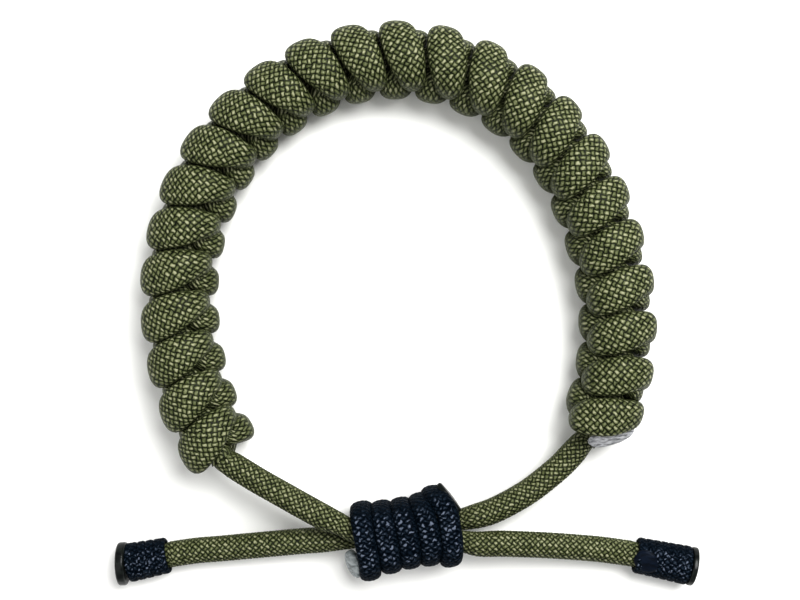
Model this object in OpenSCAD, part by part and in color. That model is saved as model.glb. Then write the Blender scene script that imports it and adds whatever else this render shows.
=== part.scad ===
// Wrist bracelet of knotted parachute cord. Two olive strands are tied into a row of snake
// knots, and their tails pass through a sliding knot of black cord, which sizes the loop.
// It lies flat: the loop is in the XY plane, +Z is up, and the origin is on the surface under
// the middle of the bracelet. +Y points from the sliding knot to the far side of the loop.

/* [Loop] */
// Radius of the loop, at the middle of the knotted band
loop_r = 30; // [28:0.5:34]
// Distance of the loop's centre from the origin, away from the sliding knot
loop_y = 5; // [3:0.5:8]
// Angle at which the knotted band starts, right of the sliding knot
band_start = -36; // [-45:1:-25]
// Angle at which the knotted band ends, left of the sliding knot
band_end = 222; // [205:1:232]

/* [Snake knots] */
// Number of snake knots
knots = 24; // [12:1:26]
// Width of the band across the loop
band_w = 10.8; // [9.6:0.1:12]
// Height of the band
band_h = 12; // [10.8:0.1:13]
// Depth of the groove between two knots, at the band's top and sides
groove = 2.1; // [1:0.1:2.6]
// How far a bar runs on along the band while it crosses the top of its knot
slant = 3; // [0:0.1:3.6]

/* [Cord] */
// Diameter of the olive cord
cord_d = 4; // [3.6:0.1:4.2]
// Diameter of the olive cord where the sliding knot or a whipping squeezes it
squeezed_d = 3.2; // [2.8:0.1:3.2]

/* [Sliding knot] */
// Turns of black cord that cross the top
turns = 5; // [3:1:7]
// Length that one turn takes along the tails
turn_pitch = 2.8; // [2.5:0.05:3.2]
// Thickness of the black cord, measured away from the tails
turn_t = 2.2; // [1.8:0.1:2.8]
// Distance of the sliding knot from the origin, away from the loop
slider_y = 33.2; // [32.8:0.1:33.8]
// Distance of the sliding knot from the origin, to the right
slider_x = 0.9; // [0.5:0.1:1.3]
// Angle between the sliding knot and the X axis
slider_turn = 11; // [8:1:13]

/* [Whippings] */
// Length of the whipping on the left tail
left_whipping_len = 5.9; // [4:0.1:6]
// Length of the whipping on the right tail
right_whipping_len = 8.2; // [5:0.1:8.4]
// Length along a tail that one turn of the thin black cord takes
whipping_pitch = 1.1; // [0.8:0.1:1.6]
// Diameter of a whipping where the tail enters it
whipping_d = 5.3; // [4.6:0.1:5.6]
// Diameter of a whipping at the end of the tail
whipping_end_d = 5.8; // [5.2:0.1:6]

/* [Melted ends] */
// Diameter of the melted cap on the left tail
left_cap_d = 6.2; // [5.6:0.1:6.4]
// Thickness of the melted cap on the left tail
left_cap_t = 1.6; // [0.8:0.1:2.4]
// Diameter of the melted cap on the right tail
right_cap_d = 5.6; // [5.2:0.1:6.2]
// Thickness of the melted cap on the right tail
right_cap_t = 0.8; // [0.6:0.1:1.6]
// Width of the melted face on the second strand's stub
stub_w = 6.6; // [5:0.1:7]
// Width of the melted face on the left end of the black cord
left_face_w = 4.2; // [3.4:0.1:4.6]
// Width of the melted face on the right end of the black cord
right_face_w = 5.6; // [4:0.1:6]
// Height of the melted faces on the black cord
slider_face_h = 3.2; // [2.6:0.1:3.4]
// Thickness of these melted faces
face_t = 0.7; // [0.4:0.1:1]

/* [Hidden] */

olive = "#5f6838";
melted_grey = "#90929a";
black = "#14161d";
gap = 0.1;

// Melted face of the stub: the middle of its inner side from the middle of the first knot, and
// the way it faces. Columns: along the band, outwards, up. The place is in shares of the pitch
// and of the band's width and height.
stub_at = [-0.53, 0.2, 0.14];
stub_faces = [-0.8, 0.4, 0.5];

// Melted faces of the black cord: the middle of each one's inner side, in millimetres from the
// end turns of the sliding knot, and the way it faces, both in the sliding knot's own frame
left_face_at = [-0.9, -3.3, -1.5];
left_face_faces = [-0.9, -0.1, 0.4];
right_face_at = [0, 4.1, 1.6];
right_face_faces = [0.9, 0.45, 0];

// Outline of the loop: its radius as a share of loop_r, at equal steps from band_start to band_end
loop_share = [1.195, 1.066, 0.975, 0.956, 0.962, 0.977, 0.984, 0.985, 0.999, 1.028, 1.088, 1.195];

// Sections of a snake knot. Columns: place along the band as a share of the pitch, then how
// full the section is at the top and at the sides, from 0 in the groove to 1 on the crown.
// One wide bar fills the top. Two narrower ones lie side by side on each side.
knot_sections = [
    [-0.50, 0.00, 0.00], [-0.43, 0.55, 0.50], [-0.33, 0.85, 0.78], [-0.18, 0.97, 0.74],
    [-0.01, 1.00, 0.40], [0.12, 0.98, 0.86], [0.28, 0.90, 1.00], [0.42, 0.60, 0.66]
];
band_sides = 22;

// Ways of the tails, from the knotted band through the sliding knot to the free end.
// Columns: x, y, z, then how full the cord is, from 0 where it is squeezed to 1.
left_tail_way = [
    [26.9, -19.9, 4.2, 0.6], [25.1, -21.9, 4.2, 1], [23.4, -23.7, 4.2, 1],
    [21.3, -25.5, 4.2, 1], [18.8, -27.4, 4.2, 1], [16.1, -29.0, 4.3, 1],
    [13.4, -30.3, 4.4, 1], [11.0, -31.0, 4.6, 0.8], [8.8, -31.5, 4.5, 0.2],
    [6.0, -32.0, 4.3, 0], [3.0, -32.7, 4.1, 0], [0.0, -33.3, 4.0, 0],
    [-3.0, -33.8, 4.0, 0], [-6.0, -34.2, 4.0, 0], [-8.4, -34.4, 4.0, 0.3],
    [-11.0, -34.5, 3.9, 0.9], [-14.0, -34.7, 3.8, 1], [-18.0, -35.1, 3.6, 1],
    [-22.0, -35.5, 3.4, 1], [-26.0, -35.9, 3.2, 1], [-29.4, -36.2, 3.1, 1],
    [-32.8, -36.7, 3.1, 1], [-33.2, -36.8, 3.1, 0], [-39.3, -38.0, 3.1, 0]
];
right_tail_way = [
    [-25.0, -22.4, 7.6, 0.6], [-24.0, -23.0, 7.6, 0.9], [-22.4, -24.0, 7.6, 1],
    [-19.6, -25.7, 7.6, 1], [-16.4, -27.5, 7.6, 1], [-13.2, -29.3, 7.6, 1],
    [-10.4, -30.8, 7.6, 0.9], [-8.4, -31.7, 7.4, 0.3], [-6.4, -32.8, 7.4, 0],
    [-4.4, -33.4, 7.4, 0], [-2.0, -33.6, 7.4, 0], [1.0, -33.6, 7.4, 0],
    [4.0, -33.6, 7.4, 0], [6.0, -33.7, 7.2, 0], [7.6, -33.9, 6.8, 0],
    [9.2, -34.3, 6.5, 0.2], [11.4, -34.7, 6.3, 0.8], [14.4, -34.7, 6.0, 1],
    [18.0, -34.9, 5.4, 1], [22.0, -35.2, 4.7, 1], [26.0, -35.6, 4.0, 1],
    [29.4, -36.0, 3.4, 1], [33.3, -36.6, 3.0, 1], [33.7, -36.7, 3.0, 0],
    [42.0, -38.4, 3.0, 0]
];

// Hollow of the sliding knot, at equal steps from its first turn to its last. Columns: half
// its width and half its height, as shares of the squeezed cord's diameter.
slider_hollow = [[1.05, 1.08], [0.92, 1.06], [0.88, 1.06], [0.92, 1.07], [1.14, 1.08]];

// How far the black cord leaves its turns sideways at its first and last ends. Columns: turns
// from the start of the first turn, or of the last, and millimetres towards the right tail's end.
first_end_way = [[-0.1, -0.6], [0.1, -0.2], [0.2, 0]];
last_end_way = [[0, 0], [0.15, 0.3], [0.27, 0.5], [0.38, 0], [0.5, -0.7]];

// Unit vector
function unit(v) = v / norm(v);

// Point of a smooth curve through a, b, c and d, a share t of the way from b to c
function smooth(a, b, c, d, t) =
    b + t * (c - a) / 2 + t * t * (a - 2.5 * b + 2 * c - 0.5 * d)
    + t * t * t * (1.5 * b - 0.5 * a - 1.5 * c + 0.5 * d);

// Row of a table at a place counted in rows, smooth between the rows
function row_at(table, place) =
    let (last = len(table) - 1, i = max(0, min(last - 1, floor(place))))
    smooth(table[max(0, i - 1)], table[i], table[i + 1], table[min(last, i + 2)], place - i);

// Point of the loop at an angle, seen from above
function loop_point(angle) =
    let (place = (angle - band_start) / (band_end - band_start) * (len(loop_share) - 1),
         r = loop_r * row_at(loop_share, place))
    [r * cos(angle), loop_y + r * sin(angle)];

// Length along the band from its first knot to each of many angles
loop_steps = 132;
loop_angles = [for (i = [0:loop_steps]) band_start + (band_end - band_start) * i / loop_steps];
loop_points = [for (a = loop_angles) loop_point(a)];
loop_lengths = [
    for (i = 0, s = 0; i <= loop_steps;
         i = i + 1, s = s + (i > loop_steps ? 0 : norm(loop_points[i] - loop_points[i - 1]))) s
];
band_len = loop_lengths[loop_steps];
pitch = band_len / (knots - 1);
angle_of_length = [for (i = [0:loop_steps]) [loop_lengths[i], loop_angles[i]]];

// Frame of the band at a length s: the direction along it, the one outwards, and its middle
function loop_at(s) = loop_point(lookup(s, angle_of_length));
nudge = band_len / 700;
function band_along(s) =
    let (on = max(nudge, min(band_len - nudge, s)), step = loop_at(on + nudge) - loop_at(on - nudge))
    unit([step.x, step.y, 0]);
function band_outwards(s) = let (t = band_along(s)) [t.y, -t.x, 0];
function band_middle(s) =
    let (on = max(0, min(band_len, s)), p = loop_at(on))
    [p.x, p.y, band_h / 2] + (s - on) * band_along(on);

// Turns a vector from the frame of the first knot: along the band, outwards and up
function from_band(v) = v.x * band_along(0) + v.y * band_outwards(0) + [0, 0, v.z];

// Cosine or sine made fuller, which gives a flattened round its square shoulders
function soft(c, power = 0.85) = sign(c) * pow(abs(c), power);

// Ring of n points about p, across by w and up by h
function ring(p, w, h, n) =
    [for (j = [0:n - 1]) let (a = 360 * (j + 0.5) / n) p + w * cos(a) + h * sin(a)];

// Ring of n points about p, square to the direction t, of a round or flattened cord
function cord_ring(p, t, up, across_r, up_r, n) =
    let (along = unit(t), side = unit(cross(up, along)))
    ring(p, side * across_r, cross(along, side) * up_r, n);

// Closed skin over rings of equally many points, each turning left as seen from the next
module skin(rings) {
    n = len(rings[0]);
    last = len(rings) - 1;
    polyhedron(
        points = [for (r = rings) each r],
        faces = [
            [for (j = [0:n - 1]) j],
            [for (j = [n - 1:-1:0]) last * n + j],
            for (i = [0:last - 1], j = [0:n - 1]) each [
                [i * n + j, (i + 1) * n + (j + 1) % n, i * n + (j + 1) % n],
                [i * n + j, (i + 1) * n + j, (i + 1) * n + (j + 1) % n]
            ]
        ]
    );
}

// Ring of the band for a section of knot k. The bar on top runs from the inside of the loop
// outwards as it goes along the band, and the bar underneath the other way.
function band_ring(k, along, top, side) = [
    for (j = [0:band_sides - 1])
        let (a = -360 * (j + 0.5) / band_sides,
             s = (k + along) * pitch + slant / 2 * sin(2 * a))
        band_middle(s)
        + band_outwards(s) * soft(cos(a)) * (band_w / 2 - groove * (1 - side))
        + [0, 0, soft(sin(a)) * (band_h / 2 - groove * (1 - top))]
];

module knotted_band() {
    color(olive) skin([
        for (k = [0:knots - 1], row = knot_sections) band_ring(k, row[0], row[1], row[2]),
        band_ring(knots - 1, 0.5, 0, 0)
    ]);
}

// Disc of melted nylon about p with rounded rims, facing along n, w wide and h high
module melted_disc(p, n, w, h, t) {
    skin([
        for (row = [[0, 0.86], [0.25, 1], [0.75, 1], [1, 0.86]])
            cord_ring(p + unit(n) * t * row[0], n, [0, 0, 1], row[1] * w / 2, row[1] * h / 2, 14)
    ]);
}

module band_stub() {
    color(melted_grey)
        melted_disc(
            band_middle(0) + from_band([stub_at.x * pitch, stub_at.y * band_w, stub_at.z * band_h]),
            from_band(stub_faces), stub_w, cord_d, face_t
        );
}

// Direction of a tail at row i of its way
function tail_along(way, i) = way[min(len(way) - 1, i + 1)] - way[max(0, i - 1)];
function xyz(row) = [row.x, row.y, row.z];

module tail(way) {
    skin([
        for (i = [0:len(way) - 1])
            let (r = (squeezed_d + way[i][3] * (cord_d - squeezed_d)) / 2)
            cord_ring(xyz(way[i]), xyz(tail_along(way, i)), [0, 0, 1], r, r, 10)
    ]);
}
module left_tail() { color(olive) tail(left_tail_way); }
module right_tail() { color(olive) tail(right_tail_way); }

// Middle of the black cord after q turns. It lies square to the tails on top and steps to the
// next turn underneath. Its first end is on the near side, its last end on the far side.
function step_at(q) = let (under = max(0, 2 * (q - floor(q)) - 1)) floor(q) + under * under * (3 - 2 * under);
function turn_middle(q) =
    let (a = 180 - 360 * q, n = step_at(q),
         hollow = row_at(slider_hollow, n / (turns - 1) * (len(slider_hollow) - 1)) * squeezed_d,
         out = gap + turn_t / 2,
         sideways = lookup(q, first_end_way) + lookup(q - turns + 1, last_end_way))
    [
        (n - (turns - 1) / 2) * turn_pitch + sideways,
        (hollow[0] + out) * soft(cos(a), 0.8), (hollow[1] + out) * soft(sin(a), 0.8)
    ];

// Height of the sliding knot's axis, with its middle turn on the surface
slider_z = slider_hollow[2][1] * squeezed_d + turn_t + gap;

module place_slider() {
    translate([slider_x, -slider_y, slider_z]) rotate([0, 0, slider_turn]) children();
}

module sliding_knot() {
    step = 1 / 14;
    color(black) place_slider() skin([
        for (q = [-step:step:turns - 0.5 + step])
            let (p = turn_middle(q), t = turn_middle(q + 0.02) - turn_middle(q - 0.02))
            cord_ring(p, t, [1, 0, 0], turn_t / 2, turn_pitch * 0.475, 8)
    ]);
}

// Distance from the middle of the sliding knot to the outside of its end turns
slider_half = turns * turn_pitch / 2;

module slider_left_end() {
    color(melted_grey) place_slider() translate([-slider_half, 0, 0])
        melted_disc(left_face_at, left_face_faces, left_face_w, slider_face_h, face_t);
}
module slider_right_end() {
    color(black) place_slider() translate([slider_half, 0, 0])
        melted_disc(right_face_at, right_face_faces, right_face_w, slider_face_h, face_t);
}

// Puts a piece on the end of a tail: its Z axis runs along the tail, from the given length
// before the tail's end
module at_tail_end(way, back) {
    last = len(way) - 1;
    t = unit(xyz(way[last]) - xyz(way[last - 1]));
    translate(xyz(way[last]) - t * back) rotate([0, acos(t.z), atan2(t.y, t.x)]) children();
}

// Whipping of thin cord: a sleeve with a round ridge for each turn
module whipping(way, length) {
    ridges = round(length / whipping_pitch);
    steps = 6;
    bore_r = squeezed_d / 2 + gap;
    dip = length / ridges / 4;
    at_tail_end(way, length) rotate_extrude($fn = 48) polygon([
        [bore_r, 0],
        for (i = [0:ridges * steps])
            let (share = i / ridges / steps, d = whipping_d + (whipping_end_d - whipping_d) * share)
            [d / 2 - dip + dip * abs(sin(180 * i / steps)), length * share],
        [bore_r, length]
    ]);
}
module left_whipping() { color(black) whipping(left_tail_way, left_whipping_len); }
module right_whipping() { color(black) whipping(right_tail_way, right_whipping_len); }

// Melted cap with a round rim, just past the end of the tail
module cap(way, d, t) {
    rim = min(t, d) * 0.4;
    at_tail_end(way, -gap) rotate_extrude($fn = 48) {
        square([d / 2 - rim, t]);
        translate([d / 2 - rim, rim]) circle(rim, $fn = 32);
        translate([0, rim]) square([d / 2, t - 2 * rim]);
        translate([d / 2 - rim, t - rim]) circle(rim, $fn = 32);
    }
}
module left_cap() { color(black) cap(left_tail_way, left_cap_d, left_cap_t); }
module right_cap() { color(black) cap(right_tail_way, right_cap_d, right_cap_t); }

knotted_band();
band_stub();
left_tail();
right_tail();
sliding_knot();
slider_left_end();
slider_right_end();
left_whipping();
right_whipping();
left_cap();
right_cap();
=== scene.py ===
"""Looks of a paracord bracelet: two olive strands tied in snake knots, closed by a sliding knot
of black cord on their tails. Everything is in metres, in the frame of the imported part: +Z is up,
and the origin is on the surface, under the middle of the bracelet."""

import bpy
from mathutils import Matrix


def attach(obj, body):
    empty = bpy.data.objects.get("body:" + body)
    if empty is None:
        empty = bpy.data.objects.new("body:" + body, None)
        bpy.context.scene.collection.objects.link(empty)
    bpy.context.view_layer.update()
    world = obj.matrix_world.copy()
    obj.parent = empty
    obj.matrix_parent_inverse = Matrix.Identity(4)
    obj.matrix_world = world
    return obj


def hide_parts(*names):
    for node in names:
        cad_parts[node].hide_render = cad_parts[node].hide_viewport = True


bl_info = {
    "name": "Paracord bracelet",
    "version": (1, 0, 0),
    "blender": (4, 5, 0),
    "location": "3D View > Sidebar > Bracelet",
    "description": "Dresses the packed bracelet with braided cord, whippings and melted ends",
    "category": "Add Mesh",
}

import bpy
import numpy as np
from bpy.props import FloatProperty, FloatVectorProperty, IntProperty, PointerProperty

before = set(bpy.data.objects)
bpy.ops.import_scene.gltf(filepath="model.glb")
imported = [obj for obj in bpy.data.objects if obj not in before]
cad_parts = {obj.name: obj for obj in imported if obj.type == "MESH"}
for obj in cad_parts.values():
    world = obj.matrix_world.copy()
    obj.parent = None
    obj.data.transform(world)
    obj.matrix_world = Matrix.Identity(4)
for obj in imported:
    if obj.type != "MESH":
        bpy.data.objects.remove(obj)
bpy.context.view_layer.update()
MM = 0.001
UP = np.array([0.0, 0.0, 1.0])

# Radius of the loop as a share of its middle radius, at equal steps from its first knot to its last
LOOP_SHARES = (1.195, 1.066, 0.975, 0.956, 0.962, 0.977, 0.984, 0.985, 0.999, 1.028, 1.088, 1.195)

# Way of one strand round the band at a knot. Columns: place along the band in pitches, outwards
# and up from the band's middle in millimetres, then the cord's width and thickness in
# millimetres. The other strand does the same, turned half a turn about the band.
KNOT_WAY = (
    (0.24, 2.30, -1.60, 2.8, 2.7),
    (0.22, 3.90, 0.00, 3.7, 2.9),
    (0.20, 3.40, 3.20, 5.6, 2.8),
    (0.00, 0.40, 4.65, 5.6, 2.7),
    (-0.21, -2.75, 3.35, 4.8, 2.7),
    (-0.23, -3.05, 0.00, 3.3, 2.6),
    (-0.20, -2.30, -2.30, 2.8, 2.6),
    (-0.06, -1.50, -2.15, 2.6, 2.6),
    (0.24, -1.35, -1.65, 2.9, 2.9),
    (0.50, 0.00, -1.60, 3.0, 3.0),
    (0.76, 1.35, -1.65, 2.9, 2.9),
    (1.06, 1.50, -1.80, 2.6, 2.6),
)

# Way of the first strand from its tail in under the first bar, and of the second strand from
# its melted stub, in the same columns
ENTRY_WAY = ((-0.24, 1.35, -1.65, 2.9, 2.9), (0.06, 1.60, -2.15, 2.6, 2.6))
STUB_WAY = (
    (-0.35, 1.75, 1.80, 5.4, 3.2),
    (-0.26, 1.20, 1.45, 4.6, 3.2),
    (-0.13, 0.20, 1.70, 3.0, 3.0),
    (0.04, -1.50, 2.10, 2.6, 2.6),
)
# How steeply the cord's flat side looks up at the first two rows of the stub's way
STUB_LEAN = ((6.0,), (2.0,))

# Middle of the stub's melted face: pitches along the band from the first knot, then millimetres
# outwards and up from its middle. Under it, how far the face looks each of these three ways.
STUB_PLACE = (-0.39, 1.836, 1.92)
STUB_FACING = (-0.7, 0.44, 0.57)

# The knots change from the form of the first, at the loop's right, to that of the last, at its
# left, between these shares of the way along the band
CHANGE = (1 / 9, 2 / 3)
# Within this many millimetres of the band's middle height a cord is at the band's side, and
# this many millimetres out from the band's middle, or in, it is wholly at the edge
SIDE_REACH = 3.3
EDGE_REACH = 3.0
# Share of the lag that the outer turns have where they aren't at the band's side
TOP_LAG = 0.4
# Over the stub the second strand is drawn in to the band's middle by this share, and is this
# many pitches further on
DRAWN_IN = 0.25
DRAWN_ON = 0.15

# Ways of the tails, from the band through the sliding knot to the free end, as in the part's
# source. Columns: x, y and z in millimetres, then how full the cord is, from 0 where it is
# squeezed to 1.
LEFT_TAIL_WAY = (
    (26.9, -19.9, 4.2, 0.6), (25.1, -21.9, 4.2, 1), (23.4, -23.7, 4.2, 1),
    (21.3, -25.5, 4.2, 1), (18.8, -27.4, 4.2, 1), (16.1, -29.0, 4.3, 1),
    (13.4, -30.3, 4.4, 1), (11.0, -31.0, 4.6, 0.8), (8.8, -31.5, 4.5, 0.2),
    (6.0, -32.0, 4.3, 0), (3.0, -32.7, 4.1, 0), (0.0, -33.3, 4.0, 0),
    (-3.0, -33.8, 4.0, 0), (-6.0, -34.2, 4.0, 0), (-8.4, -34.4, 4.0, 0.3),
    (-11.0, -34.5, 3.9, 0.9), (-14.0, -34.7, 3.8, 1), (-18.0, -35.1, 3.6, 1),
    (-22.0, -35.5, 3.4, 1), (-26.0, -35.9, 3.2, 1), (-29.4, -36.2, 3.1, 1),
    (-32.8, -36.7, 3.1, 1), (-33.2, -36.8, 3.1, 0.9), (-39.3, -38.0, 3.1, 0),
)
RIGHT_TAIL_WAY = (
    (-25.0, -22.4, 7.6, 0.6), (-24.0, -23.0, 7.6, 0.9), (-22.4, -24.0, 7.6, 1),
    (-19.6, -25.7, 7.6, 1), (-16.4, -27.5, 7.6, 1), (-13.2, -29.3, 7.6, 1),
    (-10.4, -30.8, 7.6, 0.9), (-8.4, -31.7, 7.4, 0.3), (-6.4, -32.8, 7.4, 0),
    (-4.4, -33.4, 7.4, 0), (-2.0, -33.6, 7.4, 0), (1.0, -33.6, 7.4, 0),
    (4.0, -33.6, 7.4, 0), (6.0, -33.7, 7.2, 0), (7.6, -33.9, 6.8, 0),
    (9.2, -34.3, 6.5, 0.2), (11.4, -34.7, 6.3, 0.8), (14.4, -34.7, 6.0, 1),
    (18.0, -34.9, 5.4, 1), (22.0, -35.2, 4.7, 1), (26.0, -35.6, 4.0, 1),
    (29.4, -36.0, 3.4, 1), (33.3, -36.6, 3.0, 1), (33.7, -36.7, 3.0, 0.9),
    (42.0, -38.4, 3.0, 0),
)
TAIL_WAYS = {"left": LEFT_TAIL_WAY, "right": RIGHT_TAIL_WAY}

# Width and thickness of the whippings' thin cord, as shares of the length that a turn takes
THIN_CORD = (1.22, 0.8)
# How far each whipping's turns start from where it meets the free part of its tail
WHIPPING_STARTS = {"left": 0.0, "right": 0.0004}
# The left cap was cut a little across its tail. The right one faces straight along its own.
LEFT_CAP_FACING = (-1.0, -0.04, 0.0)
# How far past the last point of its tail's way a cap starts
CAP_GAP = 0.0001
# The melted patch on the right whipping: millimetres along the tail from the whipping's start,
# then its shift in x, y and z, its width, height and thickness, and the way that it faces
PATCH_ALONG = 1.6
PATCH_SHIFT = (0.0, -0.3, 2.0)
PATCH_SIZE = (3.6, 3.2, 0.4)
PATCH_FACING = (-0.25, -0.25, 0.94)

# Hollow of the sliding knot at equal steps from its first turn to its last. Columns: half its
# width and half its height, as shares of the squeezed cord's diameter.
SLIDER_HOLLOW = ((1.05, 1.08), (0.92, 1.06), (0.88, 1.06), (0.92, 1.07), (1.14, 1.08))
# Power of the cosine and sine in a turn of the black cord. Below 1 the turn is fuller at its
# corners than an ellipse.
TURN_POWER = 0.8
# Where the black cord starts and stops, in turns from the start of its first turn and of its last
SLIDER_START = -0.06
SLIDER_STOP = 0.56
# Width of the black cord as a share of the turns' pitch, and how much thicker it is drawn than
# the room it is given, so that it presses on what it goes round
BLACK_CORD_SPREAD = 1.2
BLACK_CORD_PRESS = 0.0002

# How far the black cord leaves its turns sideways at its first and last ends. Columns: turns from
# the start of the first turn, or of the last, and millimetres towards the right tail's end.
FIRST_END_WAY = ((-0.1, -0.6), (0.1, -0.2), (0.2, 0.0))
LAST_END_WAY = ((0.25, 0.0), (0.31, 0.2), (0.36, 0.0), (0.42, -0.35), (0.5, -0.8))

# Melted ends of the black cord. Columns: which end of the knot and its sign, material, slot,
# millimetres past the turns, across and up from the knot's middle, way that it faces, width.
SLIDER_ENDS = (
    ("left", -1, "cloudy melted nylon", "melted_grey", (0.9, -3.1, -1.5), (-0.8, -0.1, 0.6), 4.2),
    ("right", 1, "black melted nylon", "melted_black", (-0.2, 3.8, 1.6), (0.9, 0.45, 0.0), 5.0),
)

# How fast a yarn of a braid falls off: across it, since it is round, and along it, where it
# dives under its neighbours
YARN_ROUND = 7.0
YARN_DIVE = 2.0
# Tone of a sheath, from 0 to 1: how much darker the yarns are that run one way, which is painted
# shade, the even tone that steep places go towards and the share of the pattern that they keep,
# which paint the top light, with full painted highlights and shade only where the cord faces up,
# and how much fuzz adds
ONE_WAY_SHADE = 0.2
SHADED_EVEN_TONE = 0.55
SHADED_PATTERN_SHARE = 0.4
FUZZ = 0.6

# Lamps. Columns: name, place, size and power in watts.
LAMPS = (("window", (0.17, 0.19, 0.46), 0.3, 4.1), ("bounce", (-0.35, -0.2, 0.5), 0.6, 1.5))


def linear(code):
    """Linear RGBA of an sRGB hex colour."""
    c = np.array([int(code[i : i + 2], 16) for i in (1, 3, 5)]) / 255
    return (*np.where(c <= 0.04045, c / 12.92, ((c + 0.055) / 1.055) ** 2.4), 1.0)


def colour(name, description, code):
    """Property that holds a colour, with an sRGB hex colour as its default."""
    return FloatVectorProperty(
        name=name, description=description, default=linear(code), size=4, min=0.0, max=1.0,
        subtype="COLOR",
    )


def distance(name, description, default, precision=4):
    """Property that holds a length."""
    return FloatProperty(
        name=name, description=description, default=default, unit="LENGTH", precision=precision
    )


def whole_number(name, description, default):
    """Property that holds a whole number."""
    return IntProperty(name=name, description=description, default=default)


class CordSettings(bpy.types.PropertyGroup):
    diameter: distance("Cord diameter", "Diameter of the olive cord", 0.004)
    squeezed: distance(
        "Squeezed diameter", "Diameter of the olive cord in the sliding knot and the whippings", 0.0032
    )
    columns: whole_number("Yarn columns", "Columns of yarns seen round the olive cord's sheath", 26)
    yarn_run: distance("Yarn run", "Length of yarn between two crossings of the sheath", 0.00065, 5)
    relief: distance("Yarn relief", "How far a yarn stands out of the sheath", 0.00013, 5)
    ring_step: distance("Ring step", "Length between two rings of a tail's mesh", 0.00011, 5)


class BandSettings(bpy.types.PropertyGroup):
    loop_radius: distance("Loop radius", "Radius of the loop, at the middle of the band", 0.030)
    loop_y: distance("Loop centre", "Distance of the loop's centre from the origin", 0.005)
    start: FloatProperty(
        name="Start angle", description="Angle of the first knot", default=np.radians(-36), subtype="ANGLE"
    )
    end: FloatProperty(
        name="End angle", description="Angle of the last knot", default=np.radians(222), subtype="ANGLE"
    )
    knots: whole_number("Knots", "Number of snake knots", 24)
    height: distance("Band height", "Height of the band", 0.012)
    taper: FloatProperty(
        name="Taper",
        description="How much a bar narrows outwards at the loop's right and inwards at its left",
        default=0.24, subtype="FACTOR",
    )
    lag: FloatProperty(
        name="Lag", description="How far the outer turns of the first knots sit back, in pitches",
        default=0.2, subtype="FACTOR",
    )
    bulge: distance("Bulge", "How much further the second strand comes out between the first bars", 0.0004)
    ring_step: distance("Ring step", "Length between two rings of a strand's mesh", 0.00026, 5)
    sides: whole_number("Sides", "Sides of a strand's mesh", 28)


class SliderSettings(bpy.types.PropertyGroup):
    place: FloatVectorProperty(
        name="Place", description="Middle of the sliding knot on the surface",
        default=(0.0009, -0.0332, 0.0), subtype="TRANSLATION",
    )
    turn: FloatProperty(
        name="Turn", description="Angle between the sliding knot and the X axis",
        default=np.radians(11), subtype="ANGLE",
    )
    turns: whole_number("Turns", "Turns of black cord across the top", 5)
    pitch: distance("Pitch", "Length that one turn takes along the tails", 0.0028)
    thickness: distance("Thickness", "Thickness of the black cord away from the tails", 0.0022)
    fan: distance("Fan", "How much further right than the turn before it a turn crosses the top", 0.0002, 5)
    gap: distance("Gap", "Gap between the black cord and the tails", 0.0001, 5)
    columns: whole_number("Yarn columns", "Columns of yarns seen round the black cord", 14)
    yarn_run: distance("Yarn run", "Length of black yarn between two crossings", 0.0007, 5)


class WhippingSettings(bpy.types.PropertyGroup):
    pitch: distance("Pitch", "Length along a tail that one turn takes", 0.0011)
    start_diameter: distance("Start diameter", "Diameter where the tail enters", 0.0053)
    end_diameter: distance("End diameter", "Diameter at the end of the tail", 0.0058)
    left_length: distance("Left length", "Length of the left whipping", 0.0059)
    right_length: distance("Right length", "Length of the right whipping", 0.0082)
    columns: whole_number("Yarn columns", "Columns of yarns seen round the thin cord", 6)


class CapSettings(bpy.types.PropertyGroup):
    left_diameter: distance("Left diameter", "Diameter of the left tail's melted end", 0.0062)
    left_thickness: distance("Left thickness", "Thickness of the left tail's melted end", 0.0013)
    right_diameter: distance("Right diameter", "Diameter of the right tail's melted end", 0.0056)
    right_thickness: distance("Right thickness", "Thickness of the right tail's melted end", 0.0008)


class ColourSettings(bpy.types.PropertyGroup):
    # Colours of the braided cords, from painted shade in the gaps and dives, through the cord's own colour
    # at the sides, to a painted highlight at the crests and glints
    olive_gap_shade: colour("Olive gaps", "Between the olive yarns", "#0c1105")
    olive_dive_shade: colour("Olive dives", "Where an olive yarn dives", "#333a20")
    olive_side: colour("Olive sides", "Sides of the olive yarns", "#535939")
    olive_lit_crest: colour("Olive crests", "Crests of the olive yarns", "#747859")
    olive_painted_glint: colour("Olive glints", "Palest crests of the olive yarns", "#9a9a80")
    black_gap_shade: colour("Black gaps", "Between the black yarns", "#00050d")
    black_dive_shade: colour("Black dives", "Where a black yarn dives", "#0a151f")
    black_side: colour("Black sides", "Sides of the black yarns", "#1b2631")
    black_lit_crest: colour("Black crests", "Crests of the black yarns", "#3e4550")
    black_painted_glint: colour("Black glints", "Palest crests of the black yarns", "#69707e")
    soot_light: colour("Sooty melt", "Melted ends of the tails", "#181e1b")
    soot_dark: colour("Sooty melt, dark", "Dark streaks in the tails' melted ends", "#05070a")
    navy_light: colour("Navy melt", "Melted patch on the right whipping", "#0c1828")
    navy_dark: colour("Navy melt, dark", "Dark streaks in the melted patch", "#050d18")
    grey_light: colour("Grey melt", "Melted stub of an olive strand", "#c9cace")
    grey_dark: colour("Grey melt, dark", "Dark streaks in the melted stub", "#66686c")
    # Left melted end of the black cord: its pale grey is partly the cloudy melt and partly a painted
    # reflection of its gloss
    cloudy_melt_and_reflection: colour("Cloudy melt", "Left melted end of the black cord", "#a3aaac")
    cloudy_dark: colour("Cloudy melt, dark", "Dark streaks in that end", "#60686a")
    paper: colour("Paper", "The floor", "#f4f4f2")


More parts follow.
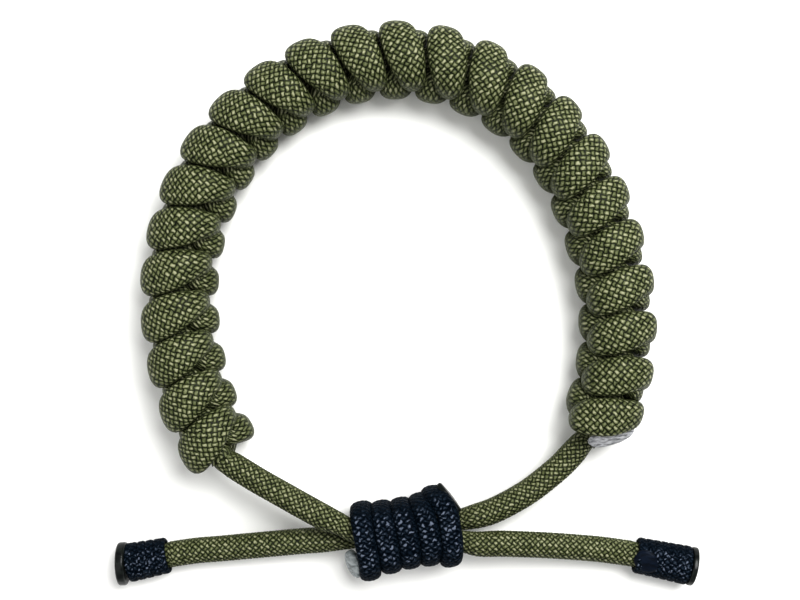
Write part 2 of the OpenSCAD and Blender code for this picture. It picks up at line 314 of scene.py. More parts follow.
class StageSettings(bpy.types.PropertyGroup):
    camera_height: distance("Camera height", "Height of the camera above the middle of the band", 0.20)
    view_width: distance("View width", "Width of the view at the middle of the band", 0.1144)
    view_x: distance("View centre X", "Middle of the view, to the right", 0.00014, 5)
    view_y: distance("View centre Y", "Middle of the view, away from the sliding knot", 0.00014, 5)
    floor_reach: distance("Floor reach", "Half the side of the floor", 1.2)
    daylight: FloatProperty(
        name="Daylight", description="Strength of the even light from all round", default=0.46
    )


def add(tree, kind, inputs=None, **settings):
    """Adds a node with its settings. An input takes a value, or a socket or a node's first
    output, which is then linked to it."""
    node = tree.nodes.new(kind)
    for name, value in settings.items():
        setattr(node, name, value)
    for key, value in (inputs or {}).items():
        if isinstance(value, bpy.types.Node):
            value = value.outputs[0]
        if isinstance(value, bpy.types.NodeSocket):
            tree.links.new(value, node.inputs[key])
        else:
            node.inputs[key].default_value = value
    return node


def calculate(tree, operation, *values, **settings):
    """Adds a node of arithmetic on one to three values."""
    return add(tree, "ShaderNodeMath", dict(enumerate(values)), operation=operation, **settings)


def unit(v):
    return v / np.linalg.norm(v, axis=-1, keepdims=True)


def smooth(rows, steps=24):
    """Curve through rows of numbers: a Catmull-Rom cubic between each two, in equal steps."""
    rows = np.asarray(rows, float)
    p = np.vstack([2 * rows[0] - rows[1], rows, 2 * rows[-1] - rows[-2]])
    a, b, c, d = p[:-3, None], p[1:-2, None], p[2:-1, None], p[3:, None]
    t = np.linspace(0, 1, steps, endpoint=False)[None, :, None]
    q = b + t * (c - a) / 2 + t**2 * (a - 2.5 * b + 2 * c - 0.5 * d)
    q = q + t**3 * (1.5 * b - 0.5 * a - 1.5 * c + 0.5 * d)
    return np.vstack([q.reshape(-1, rows.shape[1]), rows[-1]])


def lengths(points):
    """Length along a line of points, at each of them."""
    gaps = np.linalg.norm(np.diff(points, axis=0), axis=1)
    return np.concatenate([[0.0], np.cumsum(gaps)])


def loop_point(settings, angle):
    """Point of the loop at each angle: the middle radius times a share that runs smoothly
    through the table, about the loop's centre."""
    shares = smooth(np.array(LOOP_SHARES)[:, None], 40)[:, 0]
    at = np.linspace(settings.start, settings.end, len(shares))
    r = settings.loop_radius * np.interp(angle, at, shares)
    x, y = r * np.cos(angle), settings.loop_y + r * np.sin(angle)
    return np.stack([x, y, 0 * r + settings.height / 2], -1)


def band_frame(settings, s):
    """Middle of the band, its direction and the way outwards at lengths s from the first knot,
    and the band's whole length. Past its ends the band runs straight on."""
    angles = np.linspace(settings.start, settings.end, 1201)
    along = lengths(loop_point(settings, angles))
    on = np.clip(s, 0, along[-1])
    at = np.interp(on, along, angles)
    nudge = (settings.end - settings.start) / 700
    a = np.clip(at, settings.start + nudge, settings.end - nudge)
    t = unit(loop_point(settings, a + nudge) - loop_point(settings, a - nudge))
    return loop_point(settings, at) + (s - on)[..., None] * t, t, np.cross(t, UP), along[-1]


def knot_pitch(settings):
    """Length of the band that one knot takes."""
    return band_frame(settings, np.zeros(1))[3] / (settings.knots - 1)


def tail_rows(way, cord, facing):
    """Rows of a cord's way for a tail: its place, width and thickness, and the way that its
    thickness is measured, which is straight up or down."""
    way = np.array(way)
    d = cord.squeezed + way[:, 3] * (cord.diameter - cord.squeezed)
    return np.column_stack([way[:, :3] * MM, d, d, np.tile(facing * UP, (len(way), 1))])


def knot_rows(settings, side):
    """Rows of a cord's way through all the knots. side is 1 for the strand whose bars are on
    top, and -1 for the other, which is turned half a turn about the band, so its ways outwards
    and up change sign. share is how far the knots have changed, low is 1 at the band's middle
    height and 0 at its top and underside, and edge is 1 at its outer edge and -1 at its inner.
    Past the first knot an outer turn sits back by lag (1 - share) edge pitches, all of it low
    down on the first strand and a part of it elsewhere, and the second strand comes out further
    by bulge (1 - share) low. A bar narrows by taper (1 - share) edge outwards and by taper
    share edge inwards."""
    way = np.tile(KNOT_WAY, (settings.knots, 1))
    knot = np.repeat(np.arange(settings.knots), len(KNOT_WAY))[:, None]
    along, u, v = way[:, :1], side * way[:, 1:2], side * way[:, 2:3]
    share = np.interp(knot / (settings.knots - 1), CHANGE, (0.0, 1.0))
    low = 1 - np.clip(np.abs(v) / SIDE_REACH, 0, 1)
    edge = np.clip(u / EDGE_REACH, -1, 1)
    between = (u > 0) & (side < 0)
    early = (1 - share) * (knot > 0)
    lag = settings.lag * early * np.maximum(edge, 0) * (TOP_LAG + (1 - TOP_LAG) * low * ~between)
    u = u + settings.bulge / MM * early * low * between
    over_stub = (knot == 0) & (side < 0) & (v > 1) & (along < 0)
    u, v = u * (1 - DRAWN_IN * over_stub), v * (1 - DRAWN_IN * over_stub)
    place = (knot + along - lag + DRAWN_ON * over_stub)[:, 0] * knot_pitch(settings)
    middle, _, outwards, _ = band_frame(settings, place)
    offset = u * outwards + v * UP
    edge = edge * (1 - low)
    wide = way[:, 3:4] * (1 - settings.taper * np.where(edge > 0, (1 - share) * edge, -share * edge))
    return np.column_stack([middle + offset * MM, wide * MM, way[:, 4:5] * MM, unit(offset)])


def sections(power, aspects=15, samples=721):
    """Superellipses of width 1 and a row of thicknesses: the angle that lies at each share of
    the way round, and the whole way round. Equal shares hold equal lengths of the outline."""
    thickness = np.linspace(0.3, 1, aspects)
    angle = np.linspace(0, 2 * np.pi, samples)
    c, s = (np.sign(x) * np.abs(x) ** (2 / power) for x in (np.cos(angle), np.sin(angle)))
    shares = np.linspace(0, 1, samples)
    table, around = [], []
    for t in thickness:
        length = lengths(np.stack([t * c / 2, s / 2], 1))
        table.append(np.interp(shares, length / length[-1], angle))
        around.append(length[-1])
    return thickness, np.array(table), np.array(around), power


def section_at(section, wide, thick, shares):
    """Angles at equal shares of the outline for each ring's width and thickness."""
    thickness, table, _, _ = section
    place = np.interp(thick / wide, thickness, np.arange(len(thickness)))
    i = np.minimum(place.astype(int), len(thickness) - 2)
    f = (place - i)[:, None]
    at = np.rint(shares * (table.shape[1] - 1)).astype(int)
    return table[i][:, at] * (1 - f) + table[i + 1][:, at] * f


def cord_path(rows, columns, yarn_run, section, dense=0.00005):
    """A cord's way in small equal steps. Columns: place (3), width, thickness, direction (3),
    the way its thickness is measured (3), and pitches of the braid so far. A yarn crosses one
    column in a run, and half a pitch, so where the sheath is stretched wide its pitch along
    gets shorter: pitch = 2 sqrt(run^2 - (way round / columns)^2), and at least one run."""
    line = smooth(rows)
    length = lengths(line[:, :3])
    at = np.arange(0, length[-1], dense)
    line = np.stack([np.interp(at, length, c) for c in line.T], 1)
    t = unit(np.gradient(line[:, :3], axis=0))
    away = line[:, 5:8] - np.sum(line[:, 5:8] * t, 1, keepdims=True) * t
    column = line[:, 3] * np.interp(line[:, 4] / line[:, 3], section[0], section[2]) / columns
    pitch = 2 * np.sqrt(np.maximum(yarn_run**2 - column**2, (yarn_run / 2) ** 2))
    return np.column_stack([line[:, :5], t, unit(away), np.cumsum(dense / pitch)])


def braid_height(u, v):
    """Height of a braided sheath, 0 to 1, at column u and pitch v. Yarns cross it both ways. In
    the slanted counts v + u/2 and v - u/2 every whole number is a crossing, and the yarns that
    lie on top there run along the first count and along the second by turns. A yarn is round
    across and dives under its neighbours at both ends: its height is
    sqrt(1 - round across^2) (1 - dive along^2), and never below 0."""
    first, second = v + (u - 0.5) / 2, v - (u - 0.5) / 2
    m, n = np.rint(first), np.rint(second)
    first, second = first - m, second - n
    turned = np.mod(m + n, 2) > 0.5
    along, across = np.where(turned, second, first), np.where(turned, first, second)
    return np.sqrt(np.maximum(0, 1 - YARN_ROUND * across**2)) * np.maximum(0, 1 - YARN_DIVE * along**2)


def grid_mesh(name, points, uv, material):
    """Mesh of rings of points, closed round each ring, with a fan at each end. uv holds the
    braid's columns and pitches, with one more column of values than the rings have points. The
    attribute upward holds how far each point's normal looks up, from -1 to 1, and the braided
    finish paints its top light by it."""
    n, m = points.shape[:2]
    i, j = np.meshgrid(np.arange(n - 1), np.arange(m), indexing="ij")
    k = (j + 1) % m
    quads = np.stack([i * m + j, i * m + k, (i + 1) * m + k, (i + 1) * m + j], -1).reshape(-1, 4)
    quad_uvs = np.stack([uv[i, j], uv[i, j + 1], uv[i + 1, j + 1], uv[i + 1, j]], -2).reshape(-1, 2)
    verts = np.vstack([points.reshape(-1, 3), points[0].mean(0), points[-1].mean(0)])
    j = np.arange(m)
    k = (j + 1) % m
    first = np.stack([np.full(m, n * m), k, j], -1)
    last = np.stack([np.full(m, n * m + 1), (n - 1) * m + j, (n - 1) * m + k], -1)
    fan_uvs = np.repeat(np.vstack([uv[0, k], uv[-1, j]]), 3, axis=0)
    loops = np.concatenate([quads.reshape(-1), first.reshape(-1), last.reshape(-1)])
    starts = np.concatenate([4 * np.arange(len(quads)), 4 * len(quads) + 3 * np.arange(2 * m)])
    sizes = np.concatenate([np.full(len(quads), 4), np.full(2 * m, 3)])
    mesh = bpy.data.meshes.new(name)
    mesh.vertices.add(len(verts))
    mesh.vertices.foreach_set("co", verts.astype(np.float32).reshape(-1))
    mesh.loops.add(len(loops))
    mesh.loops.foreach_set("vertex_index", loops.astype(np.int32))
    mesh.polygons.add(len(starts))
    mesh.polygons.foreach_set("loop_start", starts.astype(np.int32))
    mesh.polygons.foreach_set("loop_total", sizes.astype(np.int32))
    mesh.polygons.foreach_set("use_smooth", np.ones(len(starts), bool))
    uvs = np.vstack([quad_uvs, fan_uvs]).astype(np.float32)
    mesh.uv_layers.new(name="braid").data.foreach_set("uv", uvs.reshape(-1))
    mesh.update(calc_edges=True)
    mesh.validate()
    normals = np.empty(3 * len(mesh.vertices), np.float32)
    mesh.vertices.foreach_get("normal", normals)
    mesh.attributes.new("upward", "FLOAT", "POINT").data.foreach_set("value", normals[2::3])
    mesh.materials.append(material)
    piece = bpy.data.objects.new(name, mesh)
    bpy.context.scene.collection.objects.link(piece)
    return piece


def cord_mesh(name, path, sides, step, columns, section, material, relief=0.0, fade=0.0):
    """A braided cord along a path, and its middle line. Parameters: the length along the path
    and the share of the way round. A ring is a superellipse: half the thickness times the
    cosine's power, and half the width times the sine's, both raised by the braid's height. The
    relief fades in over a length from each end."""
    length = lengths(path[:, :3])
    at = np.linspace(0, length[-1], max(2, int(round(length[-1] / step))) + 1)
    p = np.stack([np.interp(at, length, c) for c in path.T], 1)
    middle, wide, thick = p[:, :3], p[:, 3], p[:, 4]
    away = unit(p[:, 8:11])
    across = np.cross(unit(p[:, 5:8]), away)
    share = np.arange(sides + 1) / sides
    angle = section_at(section, wide, thick, share)
    c, s = (-np.sign(x) * np.abs(x) ** (2 / section[3]) for x in (np.cos(angle), np.sin(angle)))
    u, v = np.broadcast_arrays(columns * share[None, :], p[:, 11:12])
    lift = relief * braid_height(u, v)
    if fade > 0:
        lift = lift * np.clip(np.minimum(at, length[-1] - at) / fade, 0, 1)[:, None]
    out = (thick[:, None] / 2 - 2 * relief + lift) * c
    over = (wide[:, None] / 2 - 2 * relief + lift) * s
    points = middle[:, None] + out[..., None] * away[:, None] + over[..., None] * across[:, None]
    return grid_mesh(name, points[:, :sides], np.stack([u, v], -1), material), middle


def bare_material(name):
    """A material with no nodes yet, and its node tree."""
    material = bpy.data.materials.new(name)
    material.use_nodes = True
    material.node_tree.nodes.clear()
    return material, material.node_tree


def nylon(tree, tone, stops, height, bump, roughness, gloss):
    """Surface of nylon 6.6, which has an index of 1.53. stops are the tones at which its
    colours come, from the first to the last, and bump is how high its height stands."""
    colours = bpy.context.scene.bracelet_colours
    ramp = add(tree, "ShaderNodeValToRGB", {0: tone})
    elements = ramp.color_ramp.elements
    for element, (key, position) in zip(elements, (stops[0], stops[-1])):
        element.position, element.color = position, getattr(colours, key)
    for key, position in stops[1:-1]:
        elements.new(position).color = getattr(colours, key)
    bumped = add(tree, "ShaderNodeBump", {"Height": height, "Distance": bump, "Strength": 1.0})
    surface = add(tree, "ShaderNodeBsdfPrincipled", {
        "Base Color": ramp, "Normal": bumped, "Roughness": roughness, "IOR": 1.53,
        "Specular IOR Level": gloss,
    })
    add(tree, "ShaderNodeOutputMaterial", {"Surface": surface})


def braided_nylon(name, stops, bump, gloss, wander, shade_below, light_above, variety):
    """Nylon 6.6, spun in fine filaments and braided over a core. Over the braid's own colour it
    paints light and shade: a painted highlight on rows of small pale crests that slant both ways,
    painted shade in the dark gaps where the yarns dive, and a soft gloss. A yarn's tone is its
    height, less a fifth for the yarns that run one way, which is painted shade, plus a chance of
    its own times variety. The painted highlights and shade are full where the cord faces up to the
    lamps overhead. Steep places get little light, so their tone goes towards an even one."""
    material, tree = bare_material(name)
    place = add(tree, "ShaderNodeTexCoord").outputs["Object"]
    uv = add(tree, "ShaderNodeUVMap", uv_map="braid")
    # The yarns wander: soft noise of 1.5 bumps a millimetre shifts the counts of columns and pitches
    uneven = add(tree, "ShaderNodeTexNoise", {"Vector": place, "Scale": 1.5 / MM, "Detail": 1.0})
    shifted = add(
        tree, "ShaderNodeVectorMath", {0: uneven.outputs["Color"], 1: (wander, wander, 0.0), 2: uv},
        operation="MULTIPLY_ADD",
    )
    # The same height as braid_height gives the mesh
    counts = add(tree, "ShaderNodeSeparateXYZ", {0: shifted})
    u = calculate(tree, "SUBTRACT", counts, 0.5)
    crossings, offsets = [], []
    for slant in (0.5, -0.5):
        count = calculate(tree, "MULTIPLY_ADD", u, slant, counts.outputs[1])
        crossings.append(calculate(tree, "ROUND", count))
        offsets.append(calculate(tree, "SUBTRACT", count, crossings[-1]))
    total = calculate(tree, "ADD", crossings[0], crossings[1])
    turned = calculate(tree, "FLOORED_MODULO", total, 2.0)
    along = add(tree, "ShaderNodeMix", {0: turned, 2: offsets[0], 3: offsets[1]})
    across = add(tree, "ShaderNodeMix", {0: turned, 2: offsets[1], 3: offsets[0]})
    falls = []
    for offset, fall in ((along, YARN_DIVE), (across, YARN_ROUND)):
        square = calculate(tree, "MULTIPLY", offset, offset)
        falls.append(calculate(tree, "MULTIPLY_ADD", square, -fall, 1.0, use_clamp=True))
    crest = calculate(tree, "SQRT", falls[1])
    height = calculate(tree, "MULTIPLY", crest, falls[0])
    # Tone of the yarns: a painted highlight by height, painted shade on the yarns that run one way,
    # and a chance of its own for each yarn
    cell = add(tree, "ShaderNodeCombineXYZ", {0: crossings[0], 1: crossings[1]})
    chance = add(tree, "ShaderNodeTexWhiteNoise", {"Vector": cell}, noise_dimensions="2D")
    # Painted shade: the yarns that run one way are drawn a fifth darker
    lit = calculate(tree, "MULTIPLY_ADD", turned, -ONE_WAY_SHADE, 1.0)
    shine = calculate(tree, "MULTIPLY", height, lit)
    varied = calculate(tree, "MULTIPLY_ADD", chance, variety, shine)
    # Painted top light: where the cord faces up the pattern's painted highlights and shade are full, and on
    # steep sides they fade towards an even tone
    upward = add(tree, "ShaderNodeAttribute", attribute_name="upward")
    painted_top_light = add(
        tree, "ShaderNodeMapRange",
        {"Value": upward.outputs["Fac"], "From Min": shade_below, "From Max": light_above, "To Min": SHADED_PATTERN_SHARE},
        interpolation_type="SMOOTHSTEP",
    )
    tone = add(tree, "ShaderNodeMix", {0: painted_top_light, 2: SHADED_EVEN_TONE, 3: varied})
    # Filaments: noise of 5.2 bumps a millimetre, coarser than real ones so that it shows
    fuzz = add(tree, "ShaderNodeTexNoise", {"Vector": place, "Scale": 5.2 / MM, "Detail": 2.0})
    rough = calculate(tree, "MULTIPLY_ADD", fuzz, FUZZ, tone)
    # About what the fuzz and the chances add on the whole is taken off again
    level = calculate(tree, "SUBTRACT", rough, 0.275 + variety / 2)
    # Its filaments are half dull
    nylon(tree, level, stops, height, bump, 0.42, gloss)
    return material


def melted_nylon(name, light, dark, roughness, grain, bump, shine):
    """Nylon 6.6 cut with a hot blade, so it has flowed and set as a skin. It gives the eye
    streaks of soot across the face and low ripples. grain is the width of a streak, and shine
    is lower where lint and soot dull the skin."""
    material, tree = bare_material(name)
    place = add(tree, "ShaderNodeTexCoord").outputs["Object"]
    # The streaks are drawn out along X, a little turned, as the blade went
    stretch = add(
        tree, "ShaderNodeMapping", {0: place, "Scale": (1.0, 2.6, 1.6), "Rotation": (0.0, 0.0, -0.25)}
    )
    streaks = add(
        tree, "ShaderNodeTexNoise", {"Vector": stretch, "Scale": 1 / grain, "Detail": 4.0, "Distortion": 0.6}
    )
    nylon(tree, streaks, ((dark, 0.36), (light, 0.62)), streaks, bump, roughness, shine)
    return material


# Tone at which each colour comes: painted shade at the gaps and dives, the cord's own colour at the sides,
# and a painted highlight at the crests and glints
OLIVE_STOPS = (
    ("olive_gap_shade", 0.0), ("olive_dive_shade", 0.3), ("olive_side", 0.6), ("olive_lit_crest", 0.82),
    ("olive_painted_glint", 1.0),
)
BLACK_STOPS = (
    ("black_gap_shade", 0.0), ("black_dive_shade", 0.45), ("black_side", 0.7), ("black_lit_crest", 0.86),
    ("black_painted_glint", 1.0),
)

# The function that makes each material, and what it is told
FINISHES = {
    "olive braided nylon": (braided_nylon, dict(
        stops=OLIVE_STOPS, bump=0.00014, gloss=0.12, wander=0.6, shade_below=0.05, light_above=0.75, variety=0.2,
    )),
    "black braided nylon": (braided_nylon, dict(
        stops=BLACK_STOPS, bump=0.00012, gloss=0.02, wander=1.2, shade_below=0.5, light_above=0.92, variety=0.35,
    )),
    "black melted nylon": (melted_nylon, dict(
        light="soot_light", dark="soot_dark", roughness=0.3, grain=0.0016, bump=0.00006, shine=0.25,
    )),
    "navy melted nylon": (melted_nylon, dict(
        light="navy_light", dark="navy_dark", roughness=0.5, grain=0.0012, bump=0.0001, shine=0.1,
    )),
    "grey melted nylon": (melted_nylon, dict(
        light="grey_light", dark="grey_dark", roughness=0.55, grain=0.001, bump=0.00012, shine=0.5,
    )),
    # Pale grey that is partly the cloudy melt and partly a painted reflection
    "cloudy melted nylon": (melted_nylon, dict(
        light="cloudy_melt_and_reflection", dark="cloudy_dark", roughness=0.15, grain=0.0018, bump=0.00002, shine=0.5,
    )),
}


def finish(name):
    """Material of that name, made when it is first asked for."""
    make, settings = FINISHES[name]
    return bpy.data.materials.get(name) or make(name, **settings)


def wear(piece, slot, *nodes):
    """The piece stands for these nodes, which it hides, and rides with the part. slot is not used."""
    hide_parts(*nodes)
    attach(piece, "root")


def place_on_band(band, way):
    """Rows of a cord's way from a table like the knot's, at the band's first knot."""
    way = np.array(way)
    middle, _, outwards, _ = band_frame(band, way[:, 0] * knot_pitch(band))
    place = way[:, 1:2] * outwards + way[:, 2:3] * UP
    return np.column_stack([middle + place * MM, way[:, 3:5] * MM, unit(place)])


def olive_paths(cord, band, section):
    """Paths of the two strands, each cut where it becomes a tail: (tail, band part) pairs. The
    first strand runs from its free end to the last knot, and the second from its stub to its
    free end."""
    tail = tail_rows(LEFT_TAIL_WAY, cord, -1)
    rows = np.vstack([tail[::-1], place_on_band(band, ENTRY_WAY), knot_rows(band, 1)[:-2]])
    path = cord_path(rows, cord.columns, cord.yarn_run, section)
    split = np.argmin(np.linalg.norm(path[:, :3] - tail[0, :3], axis=1))
    left = path[: split + 1], path[split:]
    tail = tail_rows(RIGHT_TAIL_WAY, cord, 1)
    stub = place_on_band(band, STUB_WAY)
    stub[:2, 5:8] = unit(stub[:2, 5:8] + STUB_LEAN * UP)
    rows = np.vstack([stub, knot_rows(band, -1)[:-2], tail])
    path = cord_path(rows, cord.columns, cord.yarn_run, section)
    split = np.argmin(np.linalg.norm(path[:, :3] - tail[0, :3], axis=1))
    return {"left": left, "right": (path[split:], path[: split + 1])}


def turned_with_slider(settings, vectors):
    """Vectors of the sliding knot's own frame, turned about Z as the knot is."""
    c, s = np.cos(settings.turn), np.sin(settings.turn)
    x, y, z = np.array(vectors, float).T
    return np.stack([c * x - s * y, s * x + c * y, z], 1)


def slider_place(settings, squeezed, points):
    """Points of the sliding knot's own frame, put at its place and turn. The knot's middle is
    half its hollow's height and one cord above the surface."""
    height = SLIDER_HOLLOW[2][1] * squeezed + settings.thickness + settings.gap
    return turned_with_slider(settings, points) + height * UP + np.array(settings.place)


def tail_end(way, back):
    """Point of a tail the given length before its end, and the tail's direction there."""
    end, before = np.array(way[-1][:3]) * MM, np.array(way[-2][:3]) * MM
    along = unit(end - before)
    return end - back * along, along


def melted_face(name, middle, facing, wide, high, thick, material, ripple=0.02, turn=0.0, dome=0.25):
    """Cut end of a cord, melted: a disc about a middle, on its inner side, that faces a way.
    Its outline is an ellipse with a slow ripple of three sines, its rim is two quarter circles
    and its face is a low dome. Parameters: the angle round it, and the way from the middle of
    one side over the rim to the middle of the other."""
    n = unit(np.array(facing, float))
    side = unit(np.cross(UP, n))
    rise = np.cross(n, side)
    a = np.linspace(0, 2 * np.pi, 72, endpoint=False)
    outline = 1 + ripple * (np.sin(3 * a + 1.1) + 0.6 * np.sin(5 * a + 0.4) + 0.4 * np.sin(9 * a))
    c, s = np.cos(turn), np.sin(turn)
    x, y = wide / 2 * outline * np.cos(a), high / 2 * outline * np.sin(a)
    x, y = c * x - s * y, s * x + c * y
    rim = min(thick * 0.3, 0.4 * high)
    inset = 2 * rim / (wide + high) * 2
    b = np.linspace(0, np.pi / 2, 7)
    rising, falling = 1 - inset + inset * np.sin(b), 1 - inset + inset * np.cos(b)
    shares = np.concatenate([[0.02, 0.5, 0.8], rising, falling, [0.8, 0.55, 0.3, 0.02]])
    depth = np.concatenate([[0] * 3, rim * (1 - np.cos(b)), thick - rim * (1 - np.sin(b)), [thick] * 4])
    depth[-5:] += dome * thick * (1 - shares[-5:] ** 2)
    rings = shares[:, None, None] * (x[:, None] * side + y[:, None] * rise) + depth[:, None, None] * n
    return grid_mesh(name, np.array(middle) + rings, np.zeros((len(shares), len(a) + 1, 2)), material)


class BRACELET_OT_stage(bpy.types.Operator):
    """Adds the floor, the soft lights and the camera that looks straight down"""

    bl_idname = "bracelet.stage"
    bl_label = "Stage"

    def execute(self, context):
        scene = context.scene
        settings = scene.bracelet_stage
        camera = bpy.data.objects.new("camera", bpy.data.cameras.new("camera"))
        height = scene.bracelet_band.height / 2 + settings.camera_height
        camera.location = (settings.view_x, settings.view_y, height)
        camera.data.sensor_width = 36.0
        camera.data.lens = camera.data.sensor_width * settings.camera_height / settings.view_width
        camera.data.clip_start = 0.01
        scene.collection.objects.link(camera)
        scene.camera = camera
        reach = settings.floor_reach
        corners = [(-reach, -reach, 0), (reach, -reach, 0), (reach, reach, 0), (-reach, reach, 0)]
        mesh = bpy.data.meshes.new("floor")
        mesh.from_pydata(corners, [], [(0, 1, 2, 3)])
        # Uncoated paper: an even pale floor with no gloss, on which only soft shadows show
        paper = bpy.data.materials.new("matt white paper")
        paper.use_nodes = True
        shader = paper.node_tree.nodes["Principled BSDF"]
        shader.inputs["Base Color"].default_value = scene.bracelet_colours.paper
        shader.inputs["Roughness"].default_value = 0.9
        mesh.materials.append(paper)
        floor = bpy.data.objects.new("floor", mesh)
        scene.collection.objects.link(floor)
        for name, place, size, power in LAMPS:
            light = bpy.data.lights.new(name, "AREA")
            light.size = size
            light.energy = power
            lamp = bpy.data.objects.new(name, light)
            lamp.location = place
            # Each lamp looks at the origin: it leans by its angle from the vertical, then turns
            # to the side where the origin is
            x, y, z = place
            lamp.rotation_euler = (0.0, -np.arccos(z / np.linalg.norm(place)), np.arctan2(-y, -x))
            scene.collection.objects.link(lamp)
        world = bpy.data.worlds.new("studio")
        world.use_nodes = True
        background = world.node_tree.nodes["Background"]
        background.inputs["Color"].default_value = (1.0, 1.0, 1.0, 1.0)
        background.inputs["Strength"].default_value = settings.daylight
        scene.world = world
        scene.view_settings.view_transform = "Standard"
        scene.view_settings.gamma = 0.8
        return {"FINISHED"}


class BRACELET_OT_whippings(bpy.types.Operator):
    """Adds the thin black cord wound round each tail's end, melted down in one place"""

    bl_idname = "bracelet.whippings"
    bl_label = "Whippings"

    def execute(self, context):
        settings = context.scene.bracelet_whipping
        yarn_run = context.scene.bracelet_slider.yarn_run
        section = sections(2.6)
        for name, length in (("left", settings.left_length), ("right", settings.right_length)):
            # A helix round the tail. Its first and last turns lie flat against the ends, and its
            # diameter grows evenly along the tail.
            point, along = tail_end(TAIL_WAYS[name], length)
            side = unit(np.cross(UP, along))
            rise = np.cross(along, side)
            turns = round(length / settings.pitch)
            wide = length / turns
            thick = THIN_CORD[1] * wide
            a = np.linspace(0, 2 * np.pi * (turns + 1), 90 * turns)
            ends = [WHIPPING_STARTS[name] + wide / 2, length - wide / 2]
            x = np.interp(a, [2 * np.pi, 2 * np.pi * turns], ends)
            growth = settings.end_diameter - settings.start_diameter
            diameter = settings.start_diameter + growth * x / length
            r = (diameter - thick) / 2
            away = np.cos(a)[:, None] * side + np.sin(a)[:, None] * rise
            place = point + x[:, None] * along + r[:, None] * away
            rows = np.column_stack([place, np.tile((THIN_CORD[0] * wide, thick), (len(a), 1)), away])
            path = cord_path(rows, settings.columns, yarn_run, section)
            whipping, _ = cord_mesh(
                f"{name}_whipping_cord", path, 4 * settings.columns, step=0.00013, columns=settings.columns,
                section=section, material=finish("black braided nylon"), relief=0.00006, fade=0.0005,
            )
            wear(whipping, "black_cord", f"{name}_whipping")
        point, along = tail_end(RIGHT_TAIL_WAY, settings.right_length)
        middle = point + PATCH_ALONG * MM * along + np.array(PATCH_SHIFT) * MM
        patch = melted_face(
            "right_whipping_melted", middle, PATCH_FACING, *(size * MM for size in PATCH_SIZE),
            finish("navy melted nylon"), ripple=0.03, dome=0.9,
        )
        wear(patch, "black_cord", "right_whipping")
        return {"FINISHED"}


class BRACELET_OT_caps(bpy.types.Operator):
    """Adds the melted ends of the tails"""

    bl_idname = "bracelet.caps"
    bl_label = "Melted caps"

    def execute(self, context):
        settings = context.scene.bracelet_cap
        for name, way in TAIL_WAYS.items():
            middle, along = tail_end(way, -CAP_GAP)
            facing = LEFT_CAP_FACING if name == "left" else along
            diameter = getattr(settings, f"{name}_diameter")
            thickness = getattr(settings, f"{name}_thickness")
            cap = melted_face(
                f"{name}_cap_melted", middle, facing, diameter, diameter, thickness,
                finish("black melted nylon"), ripple=0.01, dome=0.05,
            )
            wear(cap, "melted_black", f"{name}_cap")
        return {"FINISHED"}


class BRACELET_OT_tails(bpy.types.Operator):
    """Adds the two tails, free cords from the knots through the sliding knot to their whippings"""

    bl_idname = "bracelet.tails"
    bl_label = "Tails"

    def execute(self, context):
        cord = context.scene.bracelet_cord
        section = sections(2.0)
        for name, (path, _) in olive_paths(cord, context.scene.bracelet_band, section).items():
            piece, middle = cord_mesh(
                f"{name}_tail_cord", path, 4 * cord.columns, cord.ring_step, cord.columns, section,
                finish("olive braided nylon"), relief=cord.relief, fade=0.002,
            )
            wear(piece, "olive_cord", f"{name}_tail")
            middle = middle[::-1] if name == "left" else middle
        return {"FINISHED"}


class BRACELET_OT_knotted_strands(bpy.types.Operator):
    """Adds the two olive strands where they are tied into snake knots"""

    bl_idname = "bracelet.knotted_strands"
    bl_label = "Knotted strands"

    def execute(self, context):
        cord, band = context.scene.bracelet_cord, context.scene.bracelet_band
        section = sections(2.5)
        for name, (_, path) in olive_paths(cord, band, section).items():
            piece, _ = cord_mesh(
                f"strand_of_{name}_tail", path, band.sides, band.ring_step, cord.columns, section,
                finish("olive braided nylon"),
            )
            wear(piece, "olive_cord", "knotted_band")
        return {"FINISHED"}


class BRACELET_OT_stub(bpy.types.Operator):
    """Adds the grey melted end of the strand that starts in the first knot"""

    bl_idname = "bracelet.stub"
    bl_label = "Melted stub"

    def execute(self, context):
        band = context.scene.bracelet_band
        middle, t, outwards, _ = band_frame(band, np.zeros(1))
        along, out, up = STUB_PLACE
        place = middle[0] + along * knot_pitch(band) * t[0] + out * MM * outwards[0] + up * MM * UP
        facing = np.array(STUB_FACING) @ np.stack([t[0], outwards[0], UP])
        stub = melted_face(
            "band_stub_melted", place, facing, wide=0.0066, high=0.004, thick=0.0007,
            material=finish("grey melted nylon"), ripple=0.03, turn=0.2,
        )
        wear(stub, "melted_grey", "band_stub")
        return {"FINISHED"}


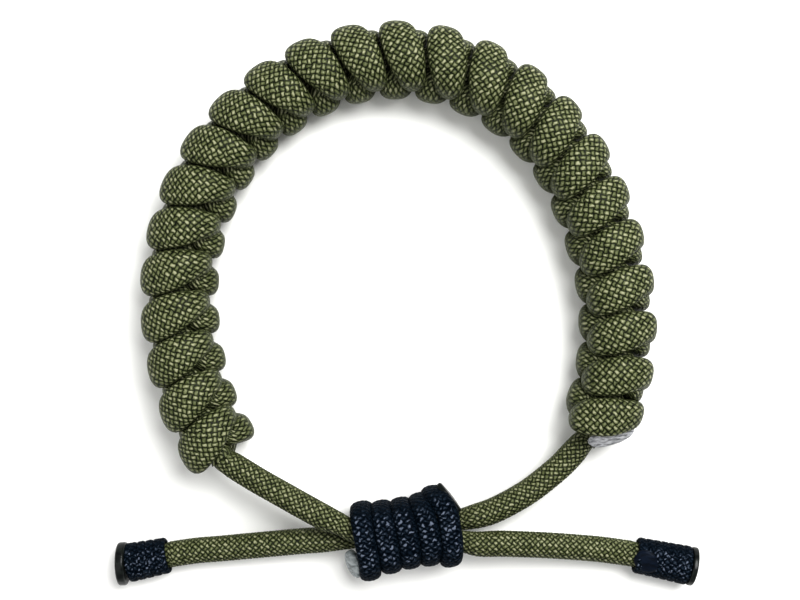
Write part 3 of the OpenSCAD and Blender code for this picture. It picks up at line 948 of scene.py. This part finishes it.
class BRACELET_OT_sliding_knot(bpy.types.Operator):
    """Adds the sliding knot: turns of black cord round both tails"""

    bl_idname = "bracelet.sliding_knot"
    bl_label = "Sliding knot"

    def execute(self, context):
        settings = context.scene.bracelet_slider
        squeezed = context.scene.bracelet_cord.squeezed
        # Parameter: turns so far. Over the top a turn stays in its place, and under the tails it
        # goes on to the next with an S-curve 3 x^2 - 2 x^3.
        last = settings.turns - 1
        q = np.linspace(SLIDER_START, last + SLIDER_STOP, 400)
        part = q - np.floor(q)
        under = np.maximum(0, 2 * part - 1)
        n = np.floor(q) + under**2 * (3 - 2 * under)
        a = np.pi * (1 - 2 * q)
        hollow = smooth(SLIDER_HOLLOW, 40)
        at = np.linspace(0, last, len(hollow))
        half = np.stack([np.interp(n, at, h) for h in hollow.T], 1) * squeezed
        half = half + settings.gap + settings.thickness / 2
        c, s = (np.sign(x) * np.abs(x) ** TURN_POWER for x in (np.cos(a), np.sin(a)))
        x = (n - last / 2) * settings.pitch
        x = x + settings.fan * n * np.sin(2 * np.pi * np.minimum(part, 0.5)) ** 2
        x = x + np.interp(q, *np.transpose(FIRST_END_WAY)) * MM
        x = x + np.interp(q - last, *np.transpose(LAST_END_WAY)) * MM
        place = slider_place(settings, squeezed, np.stack([x, half[:, 0] * c, half[:, 1] * s], 1))
        away = unit(turned_with_slider(settings, np.stack([0 * a, c / half[:, 0], s / half[:, 1]], 1)))
        size = (BLACK_CORD_SPREAD * settings.pitch, settings.thickness + BLACK_CORD_PRESS)
        rows = np.column_stack([place, np.tile(size, (len(q), 1)), away])
        section = sections(2.3)
        path = cord_path(rows, settings.columns, settings.yarn_run, section)
        knot, _ = cord_mesh(
            "sliding_knot_cord", path, 4 * settings.columns, step=0.00016, columns=settings.columns,
            section=section, material=finish("black braided nylon"), relief=0.0001, fade=0.001,
        )
        wear(knot, "black_cord", "sliding_knot")
        return {"FINISHED"}


class BRACELET_OT_slider_ends(bpy.types.Operator):
    """Adds the two melted ends of the black cord"""

    bl_idname = "bracelet.slider_ends"
    bl_label = "Black cord's melted ends"

    def execute(self, context):
        settings = context.scene.bracelet_slider
        squeezed = context.scene.bracelet_cord.squeezed
        for name, sign, material, slot, (past, across, up), facing, wide in SLIDER_ENDS:
            along = sign * (settings.turns * settings.pitch / 2 + past * MM)
            middle = slider_place(settings, squeezed, [(along, across * MM, up * MM)])[0]
            facing = turned_with_slider(settings, [facing])[0]
            face = melted_face(
                f"slider_{name}_end_melted", middle, facing, wide * MM, high=0.0032, thick=0.0007,
                material=finish(material),
            )
            wear(face, slot, f"slider_{name}_end")
        return {"FINISHED"}


class BRACELET_PT_panel(bpy.types.Panel):
    """Lists the pieces of the bracelet"""

    bl_idname = "BRACELET_PT_panel"
    bl_label = "Paracord bracelet"
    bl_space_type = "VIEW_3D"
    bl_region_type = "UI"
    bl_category = "Bracelet"

    def draw(self, context):
        for name in PIECES:
            self.layout.operator(f"bracelet.{name}")


PIECES = ("stage", "whippings", "caps", "tails", "knotted_strands", "stub", "sliding_knot", "slider_ends")

SETTINGS = {
    "cord": CordSettings, "band": BandSettings, "slider": SliderSettings,
    "whipping": WhippingSettings, "cap": CapSettings, "colours": ColourSettings,
    "stage": StageSettings,
}

classes = (
    *SETTINGS.values(),
    BRACELET_OT_stage, BRACELET_OT_whippings, BRACELET_OT_caps, BRACELET_OT_tails,
    BRACELET_OT_knotted_strands, BRACELET_OT_stub, BRACELET_OT_sliding_knot, BRACELET_OT_slider_ends,
    BRACELET_PT_panel,
)


def register():
    for c in classes:
        bpy.utils.register_class(c)
    for name, group in SETTINGS.items():
        setattr(bpy.types.Scene, f"bracelet_{name}", PointerProperty(type=group))


def unregister():
    for name in SETTINGS:
        delattr(bpy.types.Scene, f"bracelet_{name}")
    for c in reversed(classes):
        bpy.utils.unregister_class(c)


def main():
    register()
    for name in PIECES:
        getattr(bpy.ops.bracelet, name)()


if __name__ == "__main__":
    main()
